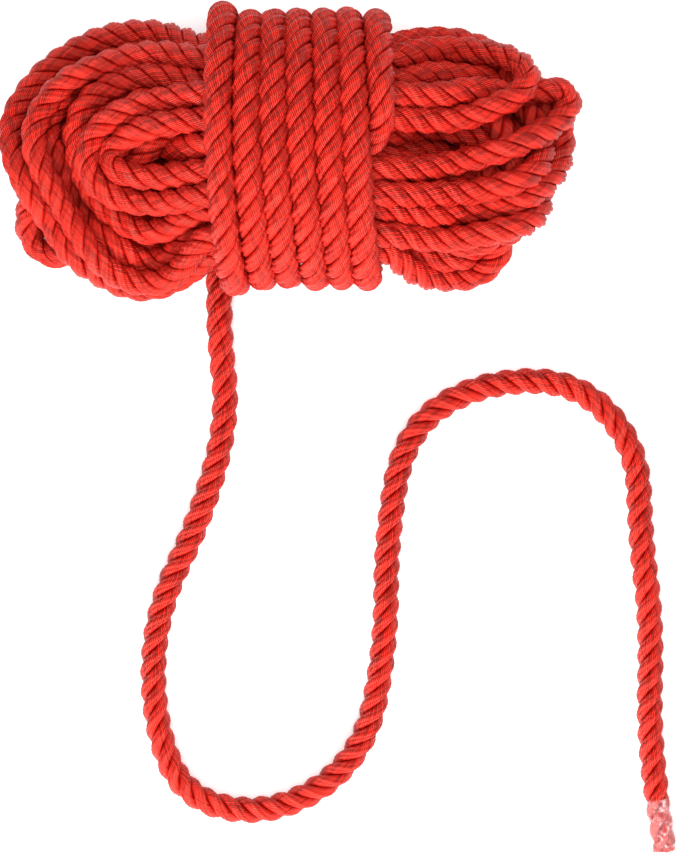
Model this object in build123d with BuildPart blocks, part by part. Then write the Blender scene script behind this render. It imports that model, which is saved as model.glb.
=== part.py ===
from build123d import *
import math
import os

# A hank of three-strand twisted cord, lying on a flat surface. Millimetres.
# +X runs along the hank, +Y across it, +Z up. The origin is on the surface, under the middle of the binding.
# Loops are wound lengthwise, turns of the same cord bind their waist, and a free tail leaves from under the
# binding and lies on the surface. Both cut ends of the cord are wrapped in clear tape.

# Driving dimensions
CORD_DIAMETER = 8.0
TAPE_WIDTH = 18.0
TAPE_THICKNESS = 0.3
TURN_COUNT = 7
TURN_PITCH = 8.5
BINDING_LEFT = -29.0
WAIST_WIDTH = 75.0
WAIST_HEIGHT = 40.0
LOBE_HEIGHT = 46.0
LOBE_TOP_ROUND = 10.0
LOBE_BOTTOM_ROUND = 3.0
TURN_ROUND = 3.6
REST_WIDTH = 40.0

# Worked out from them
CORD_RADIUS = CORD_DIAMETER / 2
TAPED_RADIUS = CORD_RADIUS - TAPE_THICKNESS
BINDING_LENGTH = TURN_COUNT * TURN_PITCH
BINDING_RIGHT = BINDING_LEFT + BINDING_LENGTH
BINDING_WIDTH = WAIST_WIDTH + 2 * CORD_DIAMETER
BINDING_HEIGHT = WAIST_HEIGHT + 2 * CORD_DIAMETER
WAIST_CENTRE_Z = BINDING_HEIGHT / 2
TURN_EDGE = TURN_PITCH / 2

# Plan outline of each lobe, from the binding's near corner round to its far corner
LEFT_LOBE = [(-43, -46), (-61, -47), (-78, -40), (-92, -28), (-93, -10), (-96, 12), (-84, 32), (-66, 42), (-46, 41)]
RIGHT_LOBE = [(48, -42), (63, -39), (78, -19), (89, -2), (91, 18), (76, 32), (57, 40), (42, 41)]
LOBE_NEAR_Y = -41.0
LOBE_FAR_Y = 40.0

# The cord's other end lies in a slot at the right lobe's tip, open towards +X and below the loops
INNER_END_Y = 8.0
INNER_END_X = 58.0
SLOT_CLEARANCE = 0.6

# The tail's route on the surface: where it leaves the binding's first turn, then every point to its cut end
TAIL_EXIT = (-26.5, -46)
TAIL_ROUTE = [
    TAIL_EXIT, (-26.5, -60), (-23.5, -87), (-32.5, -120), (-48, -152), (-49, -187), (-38, -214.8), (-7, -219.5),
    (21.5, -200), (29, -163), (29, -128), (35, -92), (58, -75.6), (92, -73.9), (112.8, -96), (113.8, -128),
    (117.6, -156), (116.2, -198.5), (121.9, -231),
]
STUB_LENGTH = 30.0
CORNER_FIT = 0.45


def corner_radii(points):
    """The largest tangent arc that each corner of a route leaves room for."""
    radii = []
    for before, here, after in zip(points, points[1:], points[2:]):
        run_in = here - before
        run_out = after - here
        turn = math.radians(run_in.get_angle(run_out))
        radii.append(CORNER_FIT * min(run_in.length, run_out.length) / math.tan(turn / 2))
    return radii


# The wound loops: two lobes and the waist that the binding holds
with BuildPart() as hank_loops:
    for side_x, outline in ((BINDING_LEFT, LEFT_LOBE), (BINDING_RIGHT, RIGHT_LOBE)):
        with BuildSketch():
            with BuildLine():
                edge = Spline((side_x, LOBE_NEAR_Y), *outline, (side_x, LOBE_FAR_Y))
                Line(edge @ 1, edge @ 0)
            make_face()
        extrude(amount=LOBE_HEIGHT)
    top_edges = hank_loops.faces().filter_by(Axis.Z).group_by(Axis.Z)[-1].edges().filter_by(GeomType.BSPLINE)
    fillet(top_edges, LOBE_TOP_ROUND)
    bottom_edges = hank_loops.faces().filter_by(Axis.Z).group_by(Axis.Z)[0].edges().filter_by(GeomType.BSPLINE)
    fillet(bottom_edges, LOBE_BOTTOM_ROUND)
    with BuildSketch(Plane.YZ.offset(BINDING_LEFT)):
        with Locations((0, WAIST_CENTRE_Z)):
            Ellipse(WAIST_WIDTH / 2, WAIST_HEIGHT / 2)
    extrude(amount=BINDING_LENGTH)
    # room for the start of the tail, which passes the left lobe's corner
    with BuildSketch(Plane.XZ.offset(-TAIL_EXIT[1] - STUB_LENGTH)):
        with Locations((TAIL_EXIT[0], CORD_RADIUS)):
            Circle(CORD_RADIUS)
    extrude(amount=STUB_LENGTH, mode=Mode.SUBTRACT)
    # slot for the cord's other end, and that end's bare core
    slot_width = CORD_DIAMETER + 2 * SLOT_CLEARANCE
    with BuildSketch(Plane.YZ.offset(INNER_END_X)):
        with Locations((INNER_END_Y, slot_width / 2)):
            Rectangle(slot_width, slot_width)
    extrude(amount=TAPE_WIDTH * 2, mode=Mode.SUBTRACT)
    with BuildSketch(Plane.YZ.offset(INNER_END_X)):
        with Locations((INNER_END_Y, CORD_RADIUS)):
            Circle(TAPED_RADIUS)
    extrude(amount=TAPE_WIDTH)
hank_loops.part.label = "hank_loops"

# The turns round the waist: one sleeve with a bulge for each turn, flat where it rests, and the tail's start
with BuildPart() as binding_turns:
    for turn in range(TURN_COUNT):
        with BuildSketch(Plane.YZ.offset(BINDING_LEFT + turn * TURN_PITCH)):
            with Locations((0, WAIST_CENTRE_Z)):
                Ellipse(BINDING_WIDTH / 2, BINDING_HEIGHT / 2)
        turn_disc = extrude(amount=TURN_PITCH, mode=Mode.PRIVATE)
        fillet_edges = turn_disc.faces().filter_by(Axis.X).edges()
        add(turn_disc.fillet(TURN_ROUND, fillet_edges))
    with BuildSketch():
        with Locations(((BINDING_LEFT + BINDING_RIGHT) / 2, 0)):
            Rectangle(BINDING_LENGTH, REST_WIDTH)
    extrude(amount=TURN_EDGE)
    with BuildSketch(Plane.XZ.offset(-TAIL_EXIT[1] - STUB_LENGTH)):
        with Locations((TAIL_EXIT[0], CORD_RADIUS)):
            Circle(CORD_RADIUS)
    extrude(amount=STUB_LENGTH)
    with BuildSketch(Plane.YZ.offset(BINDING_LEFT)):
        with Locations((0, WAIST_CENTRE_Z)):
            Ellipse(WAIST_WIDTH / 2, WAIST_HEIGHT / 2)
    extrude(amount=BINDING_LENGTH, mode=Mode.SUBTRACT)
binding_turns.part.label = "binding_turns"

# The free tail: a plain tube, narrower where the tape squeezes it
route_points = [Vector(x, y, CORD_RADIUS) for x, y in TAIL_ROUTE]
route_radii = corner_radii(route_points)
end_direction = (route_points[-1] - route_points[-2]).normalized()
tape_start = route_points[-1] - end_direction * TAPE_WIDTH
end_plane = Plane(origin=tape_start, z_dir=end_direction)
with BuildPart() as tail_rope:
    with BuildLine() as tail_line:
        FilletPolyline(*route_points[:-1], tape_start, radius=route_radii)
    with BuildSketch(Plane(origin=tail_line.line @ 0, z_dir=tail_line.line % 0)):
        Circle(CORD_RADIUS)
    sweep()
    with BuildSketch(end_plane):
        Circle(TAPED_RADIUS)
    extrude(amount=TAPE_WIDTH)
tail_rope.part.label = "tail_rope"

# The tape round the tail's end
with BuildPart() as tail_end_tape:
    with BuildSketch(end_plane):
        Circle(CORD_RADIUS)
        Circle(TAPED_RADIUS, mode=Mode.SUBTRACT)
    extrude(amount=TAPE_WIDTH)
tail_end_tape.part.label = "tail_end_tape"

# The tape round the cord's other end
with BuildPart() as inner_end_tape:
    with BuildSketch(Plane.YZ.offset(INNER_END_X)):
        with Locations((INNER_END_Y, CORD_RADIUS)):
            Circle(CORD_RADIUS)
            Circle(TAPED_RADIUS, mode=Mode.SUBTRACT)
    extrude(amount=TAPE_WIDTH)
inner_end_tape.part.label = "inner_end_tape"

bare_length = sum(edge.length for edge in tail_line.edges())
tube_volume = math.pi * (CORD_RADIUS**2 * bare_length + TAPED_RADIUS**2 * TAPE_WIDTH)
print("tail corner radii", [round(radius, 1) for radius in route_radii])
print("tail length", round(bare_length + TAPE_WIDTH, 1))
print("tail volume", round(tail_rope.part.volume, 1), "section times length", round(tube_volume, 1))

os.makedirs("parts", exist_ok=True)
for piece in (hank_loops, binding_turns, tail_rope, tail_end_tape, inner_end_tape):
    export_step(piece.part, f"parts/{piece.part.label}.step")
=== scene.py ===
import math

import bpy
import numpy as np
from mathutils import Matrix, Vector


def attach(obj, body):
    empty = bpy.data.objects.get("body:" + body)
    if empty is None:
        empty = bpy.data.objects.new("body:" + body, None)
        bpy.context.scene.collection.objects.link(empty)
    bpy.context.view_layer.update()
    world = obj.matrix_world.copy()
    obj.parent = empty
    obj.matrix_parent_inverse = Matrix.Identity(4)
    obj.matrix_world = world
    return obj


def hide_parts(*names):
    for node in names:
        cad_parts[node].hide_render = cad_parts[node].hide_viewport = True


# A hank of three-strand twisted satin rope on a plain floor, with a loose tail and a taped end.
# The rope is one piece from its hidden end to the end of its tail: through the hank's loops, up to the
# binding, seven turns round the waist and out along the floor. The hank is laid out in millimetres and
# scaled by MM.

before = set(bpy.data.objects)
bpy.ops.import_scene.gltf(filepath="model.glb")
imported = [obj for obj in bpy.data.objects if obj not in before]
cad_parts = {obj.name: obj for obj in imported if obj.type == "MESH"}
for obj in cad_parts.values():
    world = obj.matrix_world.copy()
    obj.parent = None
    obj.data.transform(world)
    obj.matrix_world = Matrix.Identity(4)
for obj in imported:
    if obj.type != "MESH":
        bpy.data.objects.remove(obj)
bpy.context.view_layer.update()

MM = 0.001

# Driving sizes, in millimetres. CONTACT is how near two lengths of the soft rope come, and each LAY is
# the length along the rope in which a strand goes once round.
CORD_DIAMETER = 8.0
CORD_RADIUS = CORD_DIAMETER / 2
CONTACT = 7.7
STRAND_COUNT = 3
LAY_LOOPS = 21.0
LAY_TURNS = 21.9
LAY_TAIL = 19.5
LAY_CHANGE = 50.0
TAPE_WIDTH = 18.0
ROUTE_STEP = 3.0

# The waist: where the binding's turns start and stop, and the height of each row of runs through it
WAIST_LEFT = -29.0
WAIST_RIGHT = 30.5
ROW_Z = {"a": 41.8, "b": 34.6, "c": 27.4, "d": 20.2, "e": 13.0}

# Each lobe's bends, the top of the pile first: the two runs that it joins, each a row and a place across
# it, then the bend's tip, and how far it swells beyond the runs on the far and the near side
LEFT_BENDS = [
    (("a", 16), ("a", -16), (-67, -2), 0, 2),
    (("a", 8), ("a", -8), (-64, -5), 0, 1),
    (("b", 4), ("b", -4), (-60, -10), 0, 4),
    (("c", 16), ("a", 0), (-58, 8), 2, -4),
    (("b", 20), ("b", -20), (-74, 1), 4, 9),
    (("b", 12), ("b", -12), (-62, 0), 4, 4),
    (("b", 28), ("b", -28), (-85, 6), 2, 20),
    (("c", 32), ("c", -32), (-93, 9), 4, 15),
    (("c", 24), ("c", -24), (-82, 7), 8, 16),
    (("c", 8), ("c", -8), (-66, 10), 6, 8),
    (("c", 0), ("c", -16), (-64, -10), -1, 8),
    (("d", 28), ("d", -28), (-90, -23), 4, -7),
    (("d", 20), ("d", -20), (-88, -12), 12, 16),
    (("d", 12), ("d", -12), (-74, -8), 12, 14),
    (("d", 4), ("d", -4), (-62, 12), 12, 14),
    (("e", 16), ("e", -16), (-91, 5), 16, 16),
    (("e", 8), ("e", -8), (-75, 3), 13, 12),
]
RIGHT_BENDS = [
    (("b", 28), ("a", 8), (77, 22), 5, 0),
    (("a", 16), ("a", -8), (90, 16), -4, 0),
    (("c", 32), ("a", -16), (80, -1), 10, -2),
    (("b", 20), ("b", -20), (87, 4), 4, 2),
    (("c", 24), ("b", -28), (80, -9), 6, 0),
    (("b", 12), ("c", -24), (72, -17), 8, 4),
    (("b", 4), ("b", -12), (72, -20), 10, 8),
    (("c", 16), ("c", -32), (66, -27), 8, 3),
    (("c", 8), ("b", -4), (70, 6), 10, 10),
    (("c", 0), ("c", -8), (62, -6), 1, 6),
    (("d", 28), ("d", -4), (80, 14), 6, 6),
    (("d", 20), ("c", -16), (78, 0), 8, 8),
    (("e", 16), ("d", -28), (62, -25), 8, -1),
    (("d", 12), ("d", -20), (72, -14), 8, 8),
    (("d", 4), ("d", -12), (60, -6), 2, 4),
    (("e", -8), ("e", -16), (61, -22), 6, 12),
]
FIRST_RUN = ("e", 8)

# Two runs that change places on their way through the waist: one is on top at the left, the other at
# the right
CROSSING = {("a", 16): ("b", 20), ("b", 20): ("a", 16)}

# A bend's shape: its points, how blunt it is at the tip and at the sides, how soon its swell and its
# shift across begin, how far from the waist it meets the runs' heights, and how often that is smoothed
BEND_POINTS = 60
TIP_BLUNTNESS = 0.8
SIDE_BLUNTNESS = 0.85
SWELL_ONSET = 0.7
SHIFT_ONSET = 1.5
HEIGHT_BLEND = 18.0
HEIGHT_SMOOTHING = 6

# The hidden end lies on the floor under the right lobe and rises to the first run
INNER_END_X = 76.0
INNER_FLAT_X = 48.0

# From the last run up to the binding's first turn
RISER_START_X = 8.0
RISER = [(14, -1.0, 41.8), (20, -2.5, 42.4), (24.5, -1.5, 44.5), (27, 3, 47.5), (27.6, 9, 50.2)]

# The binding's turns, right to left: where each one is at the far side, on top and at the near side
TURN_FAR = [(25.2, 41.4), (15.9, 42.0), (8.4, 41.7), (0.0, 41.7), (-7.8, 41.4), (-15.4, 41.1), (-24.0, 43.8)]
TURN_TOP_X = [27.0, 18.6, 10.1, 1.3, -7.2, -15.8, -24.7]
TURN_NEAR = [(22.7, -41.5), (14.3, -41.2), (6.0, -41.5), (-2.9, -40.7), (-11.3, -41.5), (-20.2, -43.3)]
TURN_MIDDLE_Z = 24.0
TURN_RISE = 28.0
TURN_DROP = 20.0
TURN_FLATNESS = 0.75
TURN_SMOOTHING = 12
FIRST_TURN_ANGLE = 107
TURN_ANGLE_STEP = 4
LEAVING = [(-25.8, -12, 4), (-26.2, -24, 4), (-26.5, -36, 4)]

# How the loops settle: rounds, the fall and the pull back to the plan in each, and the links' longest
# length. Then the gains of the push between touching points, of the pull along the links, and of the
# rope's straightening and its resistance to changes of bend.
SETTLE_ROUNDS = 200
FALL = 0.12
HOLD_IN_PLAN = 0.05
LONGEST_LINK = 1.3 * ROUTE_STEP
PUSH_GAIN = 1.25
PULL_GAIN = 0.6
STRAIGHTEN_GAIN = 0.02
STIFFNESS_GAIN = 0.6
PUSHES_PER_ROUND = 2
PULLS_PER_ROUND = 3
LAST_SMOOTHING = 2

# Touching pairs are looked for again every few rounds, within a margin, leaving out close neighbours, and
# in blocks of points to save memory
PAIRS_EVERY = 8
PAIR_MARGIN = 3
PAIR_SKIP = 4
PAIR_BLOCK = 400

# The tail's route on the floor, the same points as its CAD tube, in metres
TAIL_Z = 0.004
TAIL_ROUTE = [
    (-0.0265, -0.046), (-0.0265, -0.06), (-0.0235, -0.087), (-0.0325, -0.12), (-0.048, -0.152),
    (-0.049, -0.187), (-0.038, -0.2148), (-0.007, -0.2195), (0.0215, -0.2), (0.029, -0.163),
    (0.029, -0.128), (0.035, -0.092), (0.058, -0.0756), (0.092, -0.0739), (0.1128, -0.096),
    (0.1138, -0.128), (0.1176, -0.156), (0.1162, -0.1985), (0.1219, -0.231),
]


# ---------------------------------------------------------------- small helpers

def resample(points, step):
    """The same line with its points evenly spaced, about step apart."""
    run = np.linalg.norm(np.diff(points, axis=0), axis=1)
    along = np.concatenate([[0], np.cumsum(run)])
    count = max(2, round(along[-1] / step) + 1)
    wanted = np.linspace(0, along[-1], count)
    return np.stack([np.interp(wanted, along, points[:, axis]) for axis in range(points.shape[1])], 1)


def line_length(points):
    """How long a line is."""
    return np.linalg.norm(np.diff(points, axis=0), axis=1).sum()


def smooth(values, passes):
    """Each value moved towards the mean of its neighbours, with the two ends held."""
    for _ in range(passes):
        values[1:-1] = values[1:-1] * 0.5 + (values[:-2] + values[2:]) * 0.25
    return values


# ---------------------------------------------------------------- the hank's loops

def bend_plan(first, second, tip, swell_far, swell_near, waist_x):
    """One bend seen from above: a flattened half round from one run to the other, through its tip."""
    t = np.linspace(0, math.pi, BEND_POINTS)
    reach = np.sin(t) ** TIP_BLUNTNESS
    across = np.sign(np.cos(t)) * np.abs(np.cos(t)) ** SIDE_BLUNTNESS
    middle = (first[1] + second[1]) / 2
    half = (first[1] - second[1]) / 2
    onset = np.sin(np.minimum(reach, 1) * math.pi) ** SWELL_ONSET
    swell = np.where(across > 0, swell_far, swell_near) * onset
    x = waist_x + (tip[0] - waist_x) * reach
    y = middle + (tip[1] - middle) * reach**SHIFT_ONSET + (half + swell) * across
    return np.stack([x, y], 1)


def lay_on(pile, plan, z_first, z_second):
    """Heights for a bend that lies on the pile and meets its two runs at their own heights."""
    z = np.full(len(plan), CORD_RADIUS)
    if len(pile):
        apart = ((plan[:, None, :] - pile[None, :, :2]) ** 2).sum(2)
        lift = np.sqrt(np.maximum(CONTACT**2 - apart, 0))
        z = np.maximum(z, np.where(apart < CONTACT**2, pile[None, :, 2] + lift, CORD_RADIUS).max(1))
    place = np.arange(len(plan))
    from_waist = np.minimum(place, place[::-1]) * ROUTE_STEP
    blend = np.clip(from_waist / HEIGHT_BLEND, 0, 1)
    run_z = np.where(place < len(plan) / 2, z_first, z_second)
    return smooth(run_z * (1 - blend) + z * blend, HEIGHT_SMOOTHING)


def lay_bends():
    """Every bend, laid from the bottom of each lobe's pile up, keyed by the run the rope comes from."""
    bends = {}
    for side, table, waist_x in ((0, LEFT_BENDS, WAIST_LEFT), (1, RIGHT_BENDS, WAIST_RIGHT)):
        pile = np.zeros((0, 3))
        for first, second, tip, swell_far, swell_near in reversed(table):
            plan = resample(bend_plan(first, second, tip, swell_far, swell_near, waist_x), ROUTE_STEP)
            z = lay_on(pile, plan, ROW_Z[first[0]], ROW_Z[second[0]])
            points = np.column_stack([plan, z])
            pile = np.vstack([pile, points])
            bends[side, first] = (second, points)
            bends[side, second] = (first, points[::-1])
    return bends


def run_line(run, x_from, x_to):
    """A run through the waist from one side's place: straight, or half a turn round the run it crosses."""
    here = np.array([run[1], ROW_Z[run[0]]])
    other = CROSSING.get(run, run)
    there = np.array([other[1], ROW_Z[other[0]]])
    count = max(2, round(abs(x_to - x_from) / ROUTE_STEP))
    x = np.linspace(x_from, x_to, count)
    middle = (here + there) / 2
    arm = (here - there) / 2
    across = np.array([-arm[1], arm[0]])
    angle = np.linspace(0, math.pi, count)[:, None]
    return np.column_stack([x, middle + arm * np.cos(angle) + across * np.sin(angle)])


def inner_end():
    """The hidden end: flat on the floor, then up to the first run."""
    y = FIRST_RUN[1]
    x = np.arange(INNER_END_X, WAIST_RIGHT, -ROUTE_STEP)
    rise = np.clip((INNER_FLAT_X - x) / (INNER_FLAT_X - WAIST_RIGHT), 0, 1)
    z = CORD_RADIUS + (ROW_Z[FIRST_RUN[0]] - CORD_RADIUS) * rise * rise * (3 - 2 * rise)
    return np.column_stack([x, np.full(len(x), y), z])


def turn_keys():
    """The binding's course: angles round the waist, each with its x and its reach from the middle."""
    keys = []
    for turn, (top, far) in enumerate(zip(TURN_TOP_X, TURN_FAR)):
        if turn > 0:
            near = TURN_NEAR[turn - 1]
            keys.append((360 * turn, near[0], -near[1]))
        keys.append((360 * turn + 90, top, far[1]))
        keys.append((360 * turn + 180, far[0], far[1]))
    last_angle = 360 * (len(TURN_TOP_X) - 1) + 270
    keys.append((last_angle, LEAVING[0][0], TURN_FAR[-1][1]))
    return keys


def binding():
    """The riser and the turns round the waist: over the top away from the tail, beneath towards it."""
    key_angle, key_x, key_reach = zip(*turn_keys())
    degrees = np.arange(FIRST_TURN_ANGLE, key_angle[-1] + 1, TURN_ANGLE_STEP)
    x = smooth(np.interp(degrees, key_angle, key_x), TURN_SMOOTHING)
    reach = smooth(np.interp(degrees, key_angle, key_reach), TURN_SMOOTHING)
    angle = np.radians(degrees)
    y = -reach * np.cos(angle)
    up = np.sin(angle)
    z = TURN_MIDDLE_Z + np.where(up > 0, TURN_RISE * up, -TURN_DROP * np.abs(up) ** TURN_FLATNESS)
    return np.vstack([RISER, np.column_stack([x, y, z]), LEAVING])


def rope_layout():
    """The whole rope but its tail, which of its points are held, and how many come before the binding."""
    bends = lay_bends()
    pieces = [inner_end()]
    held = [True]
    run = FIRST_RUN
    side = 0
    while (side, CROSSING.get(run, run)) in bends:
        x_from, x_to = (WAIST_RIGHT, WAIST_LEFT) if side == 0 else (WAIST_LEFT, WAIST_RIGHT)
        pieces.append(run_line(run, x_from, x_to)[1:-1])
        held.append(True)
        run, bend = bends[side, CROSSING.get(run, run)]
        pieces.append(bend)
        held.append(False)
        side = 1 - side
    pieces.append(run_line(run, WAIST_LEFT, RISER_START_X)[1:])
    held.append(True)
    pieces.append(binding())
    held.append(True)
    flags = np.concatenate([np.full(len(piece), flag) for piece, flag in zip(pieces, held)])
    return np.vstack(pieces), flags, sum(len(piece) for piece in pieces[:-1])


# ---------------------------------------------------------------- settling the loops

def close_pairs(points, reach, skip):
    """Pairs of points nearer than reach, more than skip places apart along the rope."""
    pairs = []
    for start in range(0, len(points), PAIR_BLOCK):
        block = points[start:start + PAIR_BLOCK]
        apart = ((block[:, None, :] - points[None, :, :]) ** 2).sum(2)
        i, j = np.nonzero(apart < reach * reach)
        i = i + start
        ahead = j > i + skip
        pairs.append(np.stack([i[ahead], j[ahead]]))
    return np.hstack(pairs)


def push_apart(p, i, j, free):
    """Moves the points of each pair apart where the rope touches itself, and nothing into the floor."""
    gap = p[i] - p[j]
    apart = np.sqrt((gap**2).sum(1)) + 1e-9
    hit = apart < CONTACT
    a, b = i[hit], j[hit]
    push = gap[hit] / apart[hit, None] * (CONTACT - apart[hit])[:, None]
    weight = free[a] + free[b]
    count = len(p)
    touches = np.maximum(np.bincount(a, minlength=count) + np.bincount(b, minlength=count), 1)
    for axis in range(3):
        move = np.bincount(a, push[:, axis] * free[a] / weight, count)
        move -= np.bincount(b, push[:, axis] * free[b] / weight, count)
        p[:, axis] += PUSH_GAIN * move / np.sqrt(touches)
    p[:, 2] = np.maximum(p[:, 2], CORD_RADIUS)


def pull_links(p, rest, share_a, share_b):
    """Moves the two points of each link towards the link's own length, each by its share."""
    link = p[1:] - p[:-1]
    length = np.sqrt((link**2).sum(1)) + 1e-9
    pull = link * ((length - rest) / length * PULL_GAIN)[:, None]
    p[:-1] += pull * share_a[:, None]
    p[1:] -= pull * share_b[:, None]


def even_bends(p, free):
    """Evens out changes of bend and straightens the rope a little, as its stiffness does."""
    curve = np.zeros_like(p)
    curve[1:-1] = (p[:-2] + p[2:]) / 2 - p[1:-1]
    change = np.zeros_like(p)
    change[1:-1] = (curve[:-2] + curve[2:]) / 2 - curve[1:-1]
    p += (STRAIGHTEN_GAIN * curve - STIFFNESS_GAIN * change) * free[:, None]
    p[:, 2] = np.maximum(p[:, 2], CORD_RADIUS)


def settle(points, held, rounds):
    """Lets the free points come down under their weight until the rope lies on itself and on the floor."""
    p = points.copy()
    free = np.where(held, 0.0, 1.0)
    both = free[:-1] + free[1:]
    share_a = np.where(both > 0, free[:-1] / np.maximum(both, 1), 0)
    share_b = np.where(both > 0, free[1:] / np.maximum(both, 1), 0)
    rest = np.minimum(np.linalg.norm(np.diff(p, axis=0), axis=1), LONGEST_LINK)
    for step in range(rounds):
        if step % PAIRS_EVERY == 0:
            i, j = close_pairs(p, CONTACT + PAIR_MARGIN, PAIR_SKIP)
            loose = free[i] + free[j] > 0
            i, j = i[loose], j[loose]
        p[:, 2] -= FALL * free
        p[:, :2] += HOLD_IN_PLAN * free[:, None] * (points[:, :2] - p[:, :2])
        for _ in range(PUSHES_PER_ROUND):
            push_apart(p, i, j, free)
        for _ in range(PULLS_PER_ROUND):
            pull_links(p, rest, share_a, share_b)
        even_bends(p, free)
    return smooth(p, LAST_SMOOTHING)


# ---------------------------------------------------------------- the rope's one smooth line

# How much fuller the strands are than the nominal rope: at the hidden end, a little further in, where
# the loops start, where the binding leaves off, and in the tail. The first three places are metres from
# the hidden end.
FULL_START = (0, 0.03, 0.08)
FULL = (1.0, 1.0, 1.08, 1.15, 1.13)

# The tail loosens over this length, in metres, and the turns are pressed this much wider along the hank
LOOSENING = 0.04
WIDENED = 0.08


def route_curve(points):
    """One open NURBS spline with the route's points as its control points, in metres."""
    data = bpy.data.curves.new("rope_route", "CURVE")
    data.dimensions = "3D"
    data.resolution_u = 12
    spline = data.splines.new("NURBS")
    spline.points.add(len(points) - 1)
    spline.points.foreach_set("co", np.column_stack([points, np.ones(len(points))]).ravel())
    spline.order_u = 3
    spline.use_endpoint_u = True
    return data


def curve_points(data):
    """The points of a curve that has no bevel."""
    holder = bpy.data.objects.new("route_reader", data)
    mesh = bpy.data.meshes.new_from_object(holder)
    points = np.zeros(len(mesh.vertices) * 3)
    mesh.vertices.foreach_get("co", points)
    bpy.data.objects.remove(holder)
    bpy.data.meshes.remove(mesh)
    return points.reshape(-1, 3)


class RopeLine:
    """The rope's centreline: evenly spaced points, a frame that doesn't twist, and the lay's angle.

    turns_from and turns_to are how far along the rope the binding starts and ends, in metres. At each
    point, full says how full the strands are, wide how much wider the rope is along the hank, and loose
    how much of the tail's shape the strands have.
    """

    def __init__(self, points, step, turns_from, turns_to):
        self.points = resample(points, step)
        self.tangent = np.gradient(self.points, axis=0)
        self.tangent /= np.linalg.norm(self.tangent, axis=1)[:, None]
        run = np.linalg.norm(np.diff(self.points, axis=0), axis=1)
        self.along = np.concatenate([[0], np.cumsum(run)])
        self.length = self.along[-1]
        self.side = self.carried_side()
        self.up = np.cross(self.tangent, self.side)
        self.twist = self.lay_angle(run, turns_from, turns_to)
        change = LAY_CHANGE * MM
        tail_at = (turns_to, turns_to + LOOSENING)
        flat_at = (turns_from, turns_from + change, turns_to - change, turns_to)
        self.full = np.interp(self.along, (*FULL_START, *tail_at), FULL)
        self.wide = np.interp(self.along, flat_at, (0, WIDENED, WIDENED, 0))
        self.loose = np.interp(self.along, tail_at, (0, 1))

    def carried_side(self):
        """A side direction carried along the line without turning about it."""
        side = np.zeros_like(self.points)
        here = np.cross(self.tangent[0], (0.0, 0.0, 1.0))
        for place, tangent in enumerate(self.tangent):
            here = here - tangent * np.dot(here, tangent)
            here = here / np.linalg.norm(here)
            side[place] = here
        return side

    def lay_angle(self, run, turns_from, turns_to):
        """How far the strands have gone round the line by each point."""
        change = LAY_CHANGE * MM
        at = (turns_from, turns_from + change, turns_to, turns_to + change)
        lays = (LAY_LOOPS * MM, LAY_TURNS * MM, LAY_TURNS * MM, LAY_TAIL * MM)
        lay = np.interp(self.along, at, lays)
        turn = 2 * math.pi / ((lay[1:] + lay[:-1]) / 2) * run
        return np.concatenate([[0], np.cumsum(turn)])


# ---------------------------------------------------------------- the three strands

STRAND_TRIANGLES = 190000
YARN_SPACING = 0.47 * MM
TIP_BULGE = 0.5 * MM

# A strand's section, in millimetres and degrees: the radius of its crown where the rope is pressed and
# where it is loose, how sharp its corners are, the turns of its points from the crown to the back, and
# the fold on each shoulder
CROWN_IN_HANK = 2.5
CROWN_IN_TAIL = 2.25
CORNER_SHARPNESS = 6
HALF_PROFILE = (18, 34, 50, 68, 82, 96, 122)
FOLD_TURN = 34
FOLD_DEPTH = 0.45
RING = 2 * len(HALF_PROFILE) + 2

# Under the tape the rope is thinner by TAPE_PINCH. It starts to narrow PINCH_BEYOND before the tape and
# is narrow after PINCH_CHANGE.
TAPE_PINCH = 0.09
PINCH_CHANGE = 4 * MM
PINCH_BEYOND = 3 * MM


def new_object(name, vertices, faces):
    """A mesh object in the scene, with smooth faces."""
    mesh = bpy.data.meshes.new(name)
    mesh.from_pydata([tuple(v) for v in vertices], [], faces)
    mesh.polygons.foreach_set("use_smooth", [True] * len(mesh.polygons))
    mesh.update()
    piece = bpy.data.objects.new(name, mesh)
    bpy.context.scene.collection.objects.link(piece)
    return piece


def squeeze(line, width):
    """How much the tape squeezes the rope at each end: 1 in the open, less under the tape."""
    from_end = np.minimum(line.along, line.length - line.along)
    return 1 - TAPE_PINCH * np.clip((width + PINCH_BEYOND - from_end) / PINCH_CHANGE, 0, 1)


def strand_profile(crown_radius):
    """A strand's section, outward and sideways from the rope's line: a round crown between two flat
    sides, each pressed against the next strand a sixth of a turn away, with close corners and a shallow
    fold on each shoulder."""
    offset = CORD_RADIUS - crown_radius
    degrees = [0, *HALF_PROFILE, 180, *(360 - turn for turn in reversed(HALF_PROFILE))]
    points = []
    for turn in degrees:
        phi = math.radians(turn)
        from_crown = min(turn, 360 - turn)
        lean = math.sin(math.radians(from_crown) - math.pi / 3)
        crown = crown_radius**-CORNER_SHARPNESS
        if lean > 0.01:
            crown += (offset * math.sin(math.pi / 3) / lean) ** -CORNER_SHARPNESS
        reach = crown ** (-1 / CORNER_SHARPNESS)
        if from_crown == FOLD_TURN:
            reach -= FOLD_DEPTH
        points.append((offset + reach * math.cos(phi), reach * math.sin(phi)))
    return np.array(points) * MM


def shares(profile):
    """How far round the section each of its points is, from 0 to 1."""
    edge = np.linalg.norm(np.roll(profile, -1, axis=0) - profile, axis=1)
    return np.concatenate([[0], np.cumsum(edge)]) / edge.sum()


def spread(line, vector):
    """The section's vector where it lies: a little fuller, and wider along the hank on the waist."""
    return vector * line.full[:, None] + np.outer(vector[:, 0] * line.wide, (1.0, 0.0, 0.0))


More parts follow.
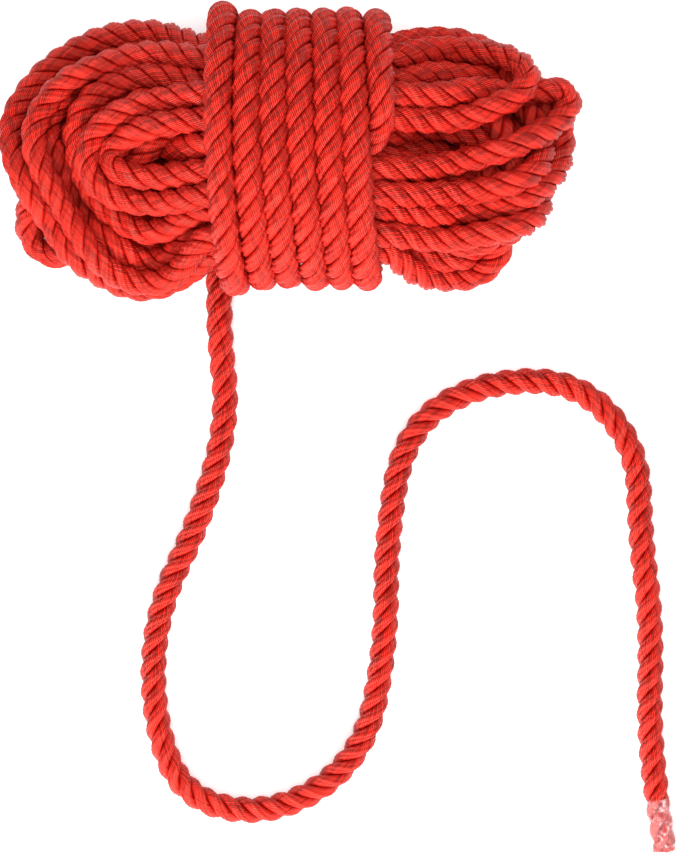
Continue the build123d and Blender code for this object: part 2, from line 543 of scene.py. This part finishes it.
def strand_directions(line, number):
    """Where a strand lies round the rope's line: the way out to it, and the way across it."""
    angle = line.twist + 2 * math.pi * number / STRAND_COUNT
    outward = np.cos(angle)[:, None] * line.side + np.sin(angle)[:, None] * line.up
    sideways = np.cos(angle)[:, None] * line.up - np.sin(angle)[:, None] * line.side
    return outward, sideways


def strand_vertices(line, number):
    """The strand's section at each point of the rope's line, then the point that closes each end."""
    outward, sideways = strand_directions(line, number)
    tight = squeeze(line, TAPE_WIDTH * MM)[:, None]
    rings = []
    for pressed, loose in zip(strand_profile(CROWN_IN_HANK), strand_profile(CROWN_IN_TAIL)):
        out, across = (pressed + (loose - pressed) * line.loose[:, None]).T[:, :, None]
        rings.append(line.points + spread(line, tight * (out * outward + across * sideways)))
    middle = (CORD_RADIUS - CROWN_IN_TAIL) * MM * tight[0]
    vertices = np.vstack([
        np.stack(rings, 1).reshape(-1, 3),
        line.points[0] + middle * outward[0] - TIP_BULGE * line.tangent[0],
        line.points[-1] + middle * outward[-1] + TIP_BULGE * line.tangent[-1],
    ])
    vertices[:, 2] = np.maximum(vertices[:, 2], 0)
    return vertices


def strand_faces(count):
    """The faces between a strand's rings, then the triangles round its two tips."""
    low = np.arange(count - 1)[:, None] * RING
    corner = np.arange(RING)[None, :]
    after = (corner + 1) % RING
    quads = np.stack([low + corner, low + after, low + RING + after, low + RING + corner], 2)
    faces = quads.reshape(-1, 4).tolist()
    last = (count - 1) * RING
    first_tip = count * RING
    for start in range(RING):
        following = (start + 1) % RING
        faces.append((following, start, first_tip))
        faces.append((last + start, last + following, first_tip + 1))
    return faces


def yarn_coordinates(line):
    """Each face corner's place among the yarns: its share round the section, and yarns along the rope."""
    share = shares(strand_profile(CROWN_IN_HANK))
    turns = line.along / YARN_SPACING
    past_back = np.arange(RING) >= RING // 2
    uv = np.zeros((len(line.points) - 1, RING, 4, 2))
    uv[:, :, (0, 3), 0] = (share[:-1] - past_back)[None, :, None]
    uv[:, :, (1, 2), 0] = (share[1:] - past_back)[None, :, None]
    uv[:, :, (0, 1), 1] = turns[:-1, None, None]
    uv[:, :, (2, 3), 1] = turns[1:, None, None]
    at_tips = np.zeros((2, RING, 3, 2))
    return np.concatenate([uv.ravel(), at_tips.ravel()])


def strand(name, line, number):
    """One strand laid round the rope's line, closed at both ends, with its yarns' coordinates."""
    piece = new_object(name, strand_vertices(line, number), strand_faces(len(line.points)))
    layer = piece.data.uv_layers.new(name="yarn")
    layer.data.foreach_set("uv", yarn_coordinates(line))
    return piece


# ---------------------------------------------------------------- the tapes

# The film's grid, how often it goes round, how far it reaches past the rope's end and closes in there
TAPE_AROUND = 72
TAPE_ALONG = 40
TAPE_TURNS = 1.12
TAPE_OVERHANG = 1.6 * MM
TAPE_CLOSING = 0.6
FILM_THICKNESS = 0.06 * MM

# How tightly the film lies: the rope's thickness under it, how flat it spans the grooves, from 0 to 1,
# its clearance and its rise in one turn, in millimetres, and the number and height of its wrinkles
TAPED_SHARE = 0.92
TAPE_FLATNESS = 0.7
TAPE_CLEARANCE = 0.08
TAPE_RISE = 0.06
WRINKLE_COUNT = 9
WRINKLE_HEIGHT = 0.05


def tape_wrinkles(seed):
    """Each wrinkle of a film: how often it goes round, how steeply it winds, and where it starts."""
    random = np.random.default_rng(seed)
    return [
        (random.integers(1, 7), random.uniform(0.15, 0.9), random.uniform(0, 6.3))
        for _ in range(WRINKLE_COUNT)
    ]


def wrinkled(wrinkles, angle, out):
    """How far the wrinkles lift the film at an angle round it and a distance along it."""
    lift = 0.0
    for wave, pitch, phase in wrinkles:
        ridge = 1 - abs(math.sin(wave * angle / 2 + pitch * out / MM + phase))
        lift += WRINKLE_HEIGHT * ridge**2
    return lift


def film_radius(line, k, turn):
    """How far from the rope's line the film lies: on the crowns, and nearly flat over the grooves."""
    angle = 2 * math.pi * turn
    nearest = min(
        abs((angle - line.twist[k] - 2 * math.pi * n / STRAND_COUNT + math.pi) % (2 * math.pi) - math.pi)
        for n in range(STRAND_COUNT)
    )
    flat = min((CORD_RADIUS + CROWN_IN_TAIL) / 2 / math.cos(math.pi / 3 - nearest), CORD_RADIUS)
    round_share = (1 - TAPE_FLATNESS) * CORD_RADIUS
    full = TAPED_SHARE * line.full[k]
    return full * (TAPE_FLATNESS * flat + round_share) + TAPE_CLEARANCE + TAPE_RISE * turn


def film_vertices(line, at_start, wrinkles):
    """The film's points, row by row from its near edge to past the rope's end."""
    length = TAPE_WIDTH * MM
    vertices = []
    for row in range(TAPE_ALONG):
        out = -length + (length + TAPE_OVERHANG) * row / (TAPE_ALONG - 1)
        place = -min(out, 0) if at_start else line.length + min(out, 0)
        k = min(int(np.searchsorted(line.along, place)), len(line.along) - 1)
        forward = -line.tangent[k] if at_start else line.tangent[k]
        centre = line.points[k] + forward * max(out, 0)
        closing = 1 - TAPE_CLOSING * max(out / TAPE_OVERHANG, 0) ** 2
        for column in range(TAPE_AROUND):
            turn = column / (TAPE_AROUND - 1) * TAPE_TURNS
            angle = 2 * math.pi * turn
            radius = (film_radius(line, k, turn) + wrinkled(wrinkles, angle, out)) * closing
            away = math.cos(angle) * line.side[k] + math.sin(angle) * line.up[k]
            spot = centre + away * radius * MM
            vertices.append((spot[0], spot[1], max(spot[2], FILM_THICKNESS)))
    return vertices


def film_faces():
    """The faces between the film's points."""
    faces = []
    for row in range(TAPE_ALONG - 1):
        for column in range(TAPE_AROUND - 1):
            low = row * TAPE_AROUND + column
            faces.append((low, low + 1, low + TAPE_AROUND + 1, low + TAPE_AROUND))
    return faces


def tape(name, line, at_start, seed):
    """Clear film round a cut end: it spans the grooves, wrinkles, and closes in past the rope's end."""
    piece = new_object(name, film_vertices(line, at_start, tape_wrinkles(seed)), film_faces())
    film = piece.modifiers.new("film", "SOLIDIFY")
    film.thickness = FILM_THICKNESS
    film.offset = 1
    bpy.context.view_layer.objects.active = piece
    bpy.ops.object.modifier_apply(modifier=film.name)
    return piece


# ---------------------------------------------------------------- materials

YARN_STARTS = 20


def new_material(name):
    """A material, its node tree and its Principled shader."""
    material = bpy.data.materials.new(name)
    material.use_nodes = True
    return material, material.node_tree, material.node_tree.nodes["Principled BSDF"]


def node(tree, kind, **settings):
    """A node with its settings, each an attribute of the node."""
    made = tree.nodes.new(kind)
    for key, value in settings.items():
        setattr(made, key, value)
    return made


def set_inputs(made, values):
    """Gives a node's own inputs their values, by name."""
    for key, value in values.items():
        made.inputs[key].default_value = value


def math_node(tree, operation, first, second=None):
    """A Math node fed by sockets or numbers; gives its output socket."""
    made = node(tree, "ShaderNodeMath", operation=operation)
    for place, value in enumerate((first, second)):
        if value is None:
            continue
        if isinstance(value, (int, float)):
            made.inputs[place].default_value = value
        else:
            tree.links.new(value, made.inputs[place])
    return made.outputs[0]


def ramp_node(tree, value, *stops):
    """A Color Ramp with a position and a colour for each of its two stops; gives its colour socket."""
    made = node(tree, "ShaderNodeValToRGB")
    for place, (position, color) in enumerate(stops):
        made.color_ramp.elements[place].position = position
        made.color_ramp.elements[place].color = color
    tree.links.new(value, made.inputs[0])
    return made.outputs[0]


def add_bump(tree, shader, height, strength, distance):
    """Bumps the shader's surface by a height."""
    bump = node(tree, "ShaderNodeBump")
    set_inputs(bump, {"Strength": strength, "Distance": distance})
    tree.links.new(height, bump.inputs["Height"])
    tree.links.new(bump.outputs[0], shader.inputs["Normal"])


def yarn_shade(tree, number, across):
    """Each yarn's own shade, broken up along its length."""
    each = node(tree, "ShaderNodeTexWhiteNoise", noise_dimensions="1D")
    tree.links.new(number, each.inputs["W"])
    streak_at = node(tree, "ShaderNodeCombineXYZ")
    tree.links.new(number, streak_at.inputs[0])
    tree.links.new(math_node(tree, "MULTIPLY", across, 16.0), streak_at.inputs[1])
    streak = node(tree, "ShaderNodeTexNoise")
    set_inputs(streak, {"Scale": 1.0, "Detail": 2.0})
    tree.links.new(streak_at.outputs[0], streak.inputs["Vector"])
    mixed = math_node(tree, "ADD", math_node(tree, "MULTIPLY", each.outputs[0], 0.4),
                      math_node(tree, "MULTIPLY", streak.outputs[0], 0.6))
    shade = node(tree, "ShaderNodeMapRange")
    set_inputs(shade, {"From Min": 0.28, "From Max": 0.72, "To Min": 0.42})
    tree.links.new(mixed, shade.inputs["Value"])
    return shade.outputs[0]


def yarn_height_and_gap_shade(tree, across, along):
    """The yarns wound round a strand: each one a ridge, with its own shade; used as the bump's height and to
    paint shade into the base colour between the yarns.
    """
    phase = math_node(tree, "ADD", math_node(tree, "MULTIPLY", across, float(YARN_STARTS)), along)
    ridge = math_node(tree, "ABSOLUTE", math_node(tree, "SINE", math_node(tree, "MULTIPLY", phase, math.pi)))
    shade = yarn_shade(tree, math_node(tree, "FLOOR", phase), across)
    return math_node(tree, "MULTIPLY", math_node(tree, "POWER", ridge, 0.7), shade)


def satin_material():
    """Satin yarn wound closely round each strand, glossy: its base colour has painted shade, dark between
    the yarns and bright on them.
    """
    material, tree, shader = new_material("satin_rope")
    set_inputs(shader, {
        "Roughness": 0.33,
        "Specular IOR Level": 0.32,
        "Specular Tint": (1.0, 0.75, 0.58, 1),
    })
    place = node(tree, "ShaderNodeUVMap", uv_map="yarn")
    parts = node(tree, "ShaderNodeSeparateXYZ")
    tree.links.new(place.outputs[0], parts.inputs[0])
    height_and_gap_shade = yarn_height_and_gap_shade(tree, parts.outputs[0], parts.outputs[1])
    # Painted shade: the base colour is near black between the yarns and bright red on their crests, by the
    # bump's height; each yarn's random tone is its own
    color = ramp_node(tree, height_and_gap_shade, (0.25, (0.17, 0.0005, 0.0005, 1)), (0.78, (0.87, 0.028, 0.017, 1)))
    tree.links.new(color, shader.inputs["Base Color"])
    add_bump(tree, shader, height_and_gap_shade, 1.0, 0.26 * MM)
    return material


def tape_material():
    """Clear glossy film that whitens where it is creased."""
    material, tree, shader = new_material("clear_tape")
    set_inputs(shader, {
        "Roughness": 0.12,
        "Base Color": (0.85, 0.5, 0.5, 1),
        "Specular IOR Level": 0.8,
    })
    crease = node(tree, "ShaderNodeTexNoise")
    set_inputs(crease, {"Scale": 170.0, "Detail": 3.0, "Distortion": 1.5})
    spot = node(tree, "ShaderNodeTexCoord")
    tree.links.new(spot.outputs["Object"], crease.inputs["Vector"])
    whitened = ramp_node(tree, crease.outputs[0], (0.55, (0.1, 0.1, 0.1, 1)), (0.72, (0.65, 0.65, 0.65, 1)))
    tree.links.new(whitened, shader.inputs["Alpha"])
    add_bump(tree, shader, crease.outputs[0], 0.4, 0.2 * MM)
    return material


def floor_material():
    """A plain white sheet."""
    material, _, shader = new_material("studio_floor")
    set_inputs(shader, {
        "Base Color": (0.93, 0.93, 0.93, 1),
        "Roughness": 0.9,
        "Specular IOR Level": 0.1,
        "Emission Color": (1, 1, 1, 1),
        "Emission Strength": 0.2,
    })
    return material


# ---------------------------------------------------------------- building it

layout, held, loops_end = rope_layout()
settled = settle(layout, held, SETTLE_ROUNDS)
tail = np.array([(x, y, TAIL_Z) for x, y in TAIL_ROUTE])
route = route_curve(np.vstack([settled * MM, tail]))
route_points = curve_points(route)

turns_from = line_length(settled[:loops_end]) * MM
turns_to = line_length(settled) * MM
rope_step = line_length(route_points) / (STRAND_TRIANGLES / 2 / RING)
rope = RopeLine(route_points, rope_step, turns_from, turns_to)
print("rope length", round(rope.length, 3), "tail", round(rope.length - turns_to, 3))

satin = satin_material()
for number, letter in enumerate("abc"):
    piece = strand(f"strand_{letter}", rope, number)
    piece.data.materials.append(satin)
    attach(piece, "root")
    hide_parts("hank_loops", "binding_turns", "tail_rope")

film = tape_material()
tail_tape = tape("tail_tape_film", rope, False, 3)
inner_tape = tape("inner_tape_film", rope, True, 8)
for piece, node_name in ((tail_tape, "tail_end_tape"), (inner_tape, "inner_end_tape")):
    piece.data.materials.append(film)
    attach(piece, "root")
    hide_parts(node_name)

# ---------------------------------------------------------------- floor, light and camera

FLOOR_HALF = 1.5
floor_corners = [(-FLOOR_HALF, -FLOOR_HALF, 0), (FLOOR_HALF, -FLOOR_HALF, 0),
                 (FLOOR_HALF, FLOOR_HALF, 0), (-FLOOR_HALF, FLOOR_HALF, 0)]
floor_data = bpy.data.meshes.new("floor")
floor_data.from_pydata(floor_corners, [], [(0, 1, 2, 3)])
floor = bpy.data.objects.new("floor", floor_data)
bpy.context.scene.collection.objects.link(floor)
floor.data.materials.append(floor_material())


def area_light(name, place, target, size, power):
    """A soft square light that faces its target."""
    data = bpy.data.lights.new(name, "AREA")
    data.shape = "SQUARE"
    data.size = size
    data.energy = power
    lamp = bpy.data.objects.new(name, data)
    lamp.location = place
    lamp.rotation_euler = (Vector(target) - Vector(place)).to_track_quat("-Z", "Y").to_euler()
    bpy.context.scene.collection.objects.link(lamp)


LIGHT_TARGET = (0, -0.06, 0)
area_light("key_light", (-0.1, -0.9, 0.52), LIGHT_TARGET, 0.35, 16.5)
area_light("fill_light", (0.1, 0.1, 1.1), LIGHT_TARGET, 0.9, 7)

world = bpy.data.worlds.new("studio")
bpy.context.scene.world = world
world.use_nodes = True
set_inputs(world.node_tree.nodes["Background"], {"Color": (1, 1, 1, 1), "Strength": 0.75})

# The camera looks straight down, with +Y up in the picture
CAMERA_AIM = (0.0135, -0.090)
CAMERA_HEIGHT = 0.8
LENS = 100.7
SENSOR_SIZE = 36
camera_data = bpy.data.cameras.new("camera")
camera_data.lens = LENS
camera_data.sensor_width = SENSOR_SIZE
camera = bpy.data.objects.new("camera", camera_data)
camera.location = (*CAMERA_AIM, CAMERA_HEIGHT)
bpy.context.scene.collection.objects.link(camera)
bpy.context.scene.camera = camera
bpy.context.scene.view_settings.view_transform = "Standard"
